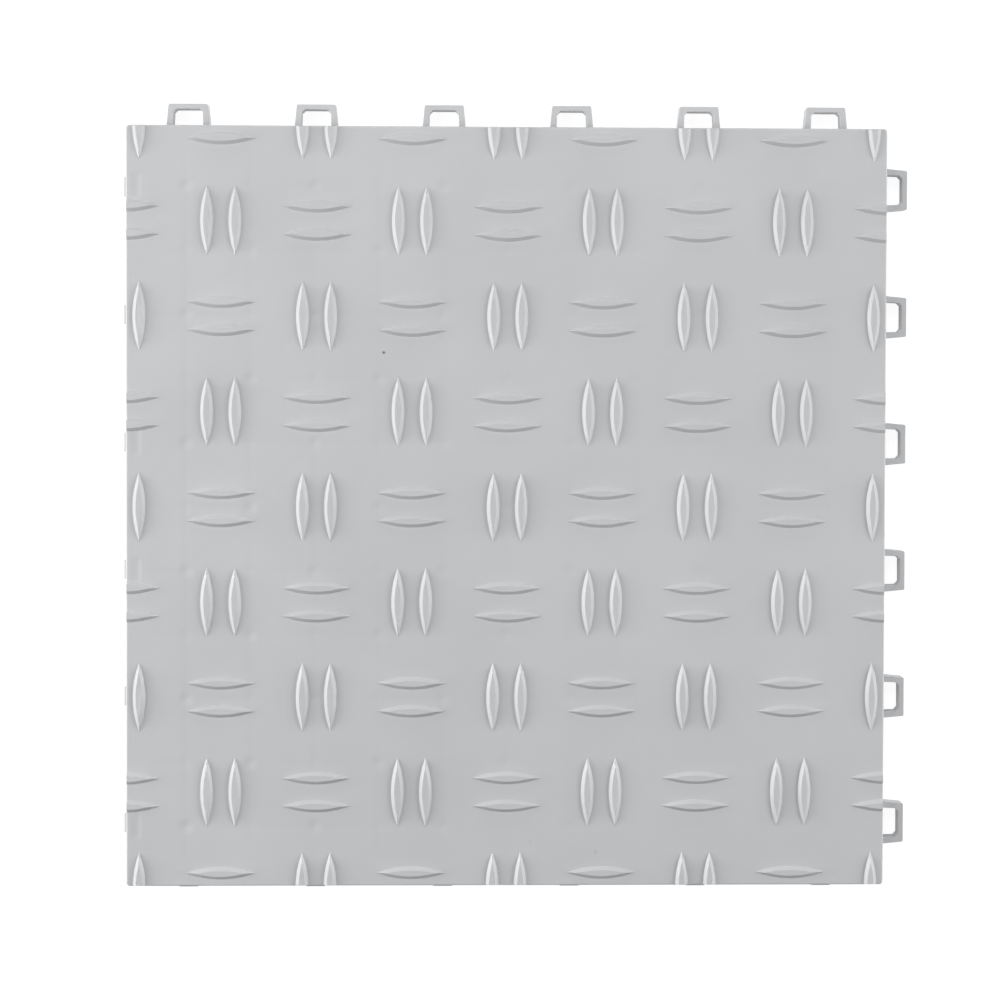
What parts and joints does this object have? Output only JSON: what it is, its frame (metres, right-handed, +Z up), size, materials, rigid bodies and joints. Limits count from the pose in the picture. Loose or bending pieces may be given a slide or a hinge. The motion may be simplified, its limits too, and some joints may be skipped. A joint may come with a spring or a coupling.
{
  "type": "interlocking floor tile",
  "caption": "Square moulded garage floor tile with a raised tread-plate pattern, loops out of two edges and snap pegs under the other two that lock it to its neighbours.",
  "frame": {"origin": "on the floor plane, under the centre of the plate", "axes": "+Z up out of the tread; +X and +Y out of the two edges with loops"},
  "size_m": [0.315, 0.315, 0.0127],
  "materials": {
    "tile": "satin light grey polypropylene"
  },
  "bodies": {
    "root": {"floor_tile": "tile"}
  },
  "joints": []
}
